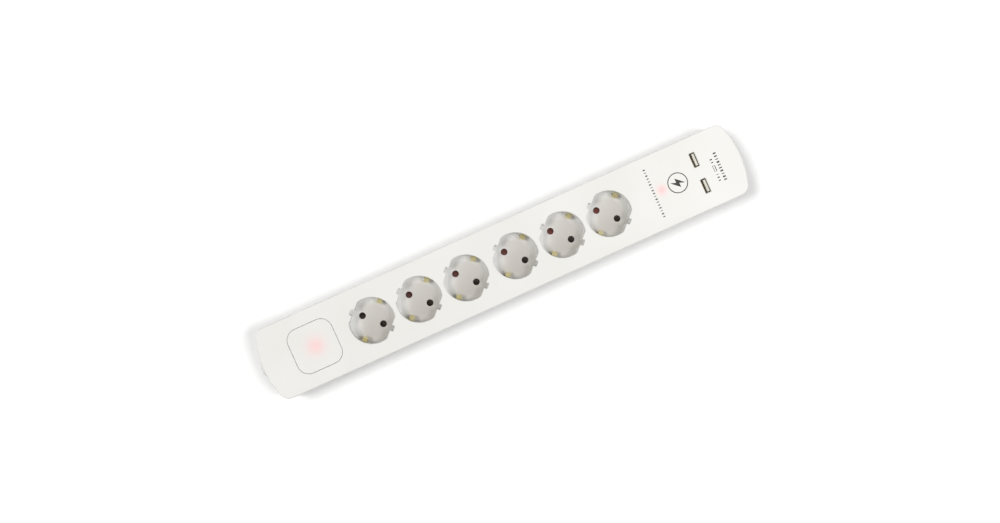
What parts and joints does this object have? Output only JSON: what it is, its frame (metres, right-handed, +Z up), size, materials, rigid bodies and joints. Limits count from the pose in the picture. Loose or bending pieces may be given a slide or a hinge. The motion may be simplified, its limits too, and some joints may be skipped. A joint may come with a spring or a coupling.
{
  "type": "surge protector power strip",
  "caption": "Long white power strip: a row of earthed round sockets with child-safety shutters, a lit square push switch, charging ports and a surge board inside.",
  "frame": {"origin": "on the surface the strip stands on, under the middle of its length and width", "axes": "+X along the strip towards the charging ports, +Z up"},
  "size_m": [0.443, 0.0636, 0.042],
  "materials": {
    "white_plastic": "fine satin moulding",
    "grey_plastic": "fine satin moulding",
    "brown_plastic": "smooth moulding",
    "black_plastic": "smooth moulding",
    "spring_steel": "bright drawn",
    "zinc_steel": "zinc plated",
    "port_steel": "nickel plated",
    "brass": "stamped, bright",
    "rubber": "matt",
    "pale_insulator": "smooth moulding",
    "board_laminate": "solder mask",
    "blue_coating": "dipped",
    "fuse_ceramic": "glazed",
    "can_sleeve": "shrunk sleeve",
    "dark_ferrite": "sintered and taped",
    "red_lens": "clear red",
    "clear_plastic": "clear moulding"
  },
  "bodies": {
    "casing": {"top_cover": "white_plastic", "base_cover": "white_plastic", "casing_screws": "zinc_steel", "rubber_feet": "rubber", "cord_collar": "white_plastic", "cord_clamp": "white_plastic", "clamp_screws": "zinc_steel", "socket_cup_1": "grey_plastic", "socket_cup_2": "grey_plastic", "socket_cup_3": "grey_plastic", "socket_cup_4": "grey_plastic", "socket_cup_5": "grey_plastic", "socket_cup_6": "grey_plastic", "shutter_spring_1": "spring_steel", "shutter_spring_2": "spring_steel", "shutter_spring_3": "spring_steel", "shutter_spring_4": "spring_steel", "shutter_spring_5": "spring_steel", "shutter_spring_6": "spring_steel", "earth_strap_1": "brass", "earth_strap_2": "brass", "earth_strap_3": "brass", "earth_strap_4": "brass", "earth_strap_5": "brass", "earth_strap_6": "brass", "earth_bus": "brass", "live_rail": "brass", "neutral_rail": "brass", "switch_body": "black_plastic", "switch_lamp": "red_lens", "switch_terminals": "brass", "switch_spring": "spring_steel", "circuit_board": "board_laminate", "port_frame_1": "port_steel", "port_frame_2": "port_steel", "port_tongue_1": "pale_insulator", "port_tongue_2": "pale_insulator", "varistors": "blue_coating", "thermal_fuse": "fuse_ceramic", "capacitors": "can_sleeve", "transformer": "dark_ferrite", "indicator_led": "red_lens", "light_pipe": "clear_plastic"},
    "switch": {"switch_button": "white_plastic"},
    "shutter_1": {"shutter_1": "brown_plastic"},
    "shutter_2": {"shutter_2": "brown_plastic"},
    "shutter_3": {"shutter_3": "brown_plastic"},
    "shutter_4": {"shutter_4": "brown_plastic"},
    "shutter_5": {"shutter_5": "brown_plastic"},
    "shutter_6": {"shutter_6": "brown_plastic"}
  },
  "joints": [
    {"name": "switch_press", "type": "slide", "parent": "casing", "child": "switch", "axis": [0, 0, -1], "range_m": [0, 0.003], "stiffness_N_per_m": 400, "springref_m": -0.002, "deforming": ["switch_spring"]},
    {"name": "shutter_turn_1", "type": "hinge", "parent": "casing", "child": "shutter_1", "pos_m": [-0.11835, 0, 0.0203], "axis": [0, 0, 1], "range_deg": [0, 42], "stiffness_Nm_per_rad": 0.002, "springref_deg": -8.59, "deforming": ["shutter_spring_1"]},
    {"name": "shutter_turn_2", "type": "hinge", "parent": "casing", "child": "shutter_2", "pos_m": [-0.07525, 0, 0.0203], "axis": [0, 0, 1], "range_deg": [0, 42], "stiffness_Nm_per_rad": 0.002, "springref_deg": -8.59, "deforming": ["shutter_spring_2"]},
    {"name": "shutter_turn_3", "type": "hinge", "parent": "casing", "child": "shutter_3", "pos_m": [-0.03215, 0, 0.0203], "axis": [0, 0, 1], "range_deg": [0, 42], "stiffness_Nm_per_rad": 0.002, "springref_deg": -8.59, "deforming": ["shutter_spring_3"]},
    {"name": "shutter_turn_4", "type": "hinge", "parent": "casing", "child": "shutter_4", "pos_m": [0.01315, 0, 0.0203], "axis": [0, 0, 1], "range_deg": [0, 42], "stiffness_Nm_per_rad": 0.002, "springref_deg": -8.59, "deforming": ["shutter_spring_4"]},
    {"name": "shutter_turn_5", "type": "hinge", "parent": "casing", "child": "shutter_5", "pos_m": [0.05625, 0, 0.0203], "axis": [0, 0, 1], "range_deg": [0, 42], "stiffness_Nm_per_rad": 0.002, "springref_deg": -8.59, "deforming": ["shutter_spring_5"]},
    {"name": "shutter_turn_6", "type": "hinge", "parent": "casing", "child": "shutter_6", "pos_m": [0.09935, 0, 0.0203], "axis": [0, 0, 1], "range_deg": [0, 42], "stiffness_Nm_per_rad": 0.002, "springref_deg": -8.59, "deforming": ["shutter_spring_6"]}
  ]
}
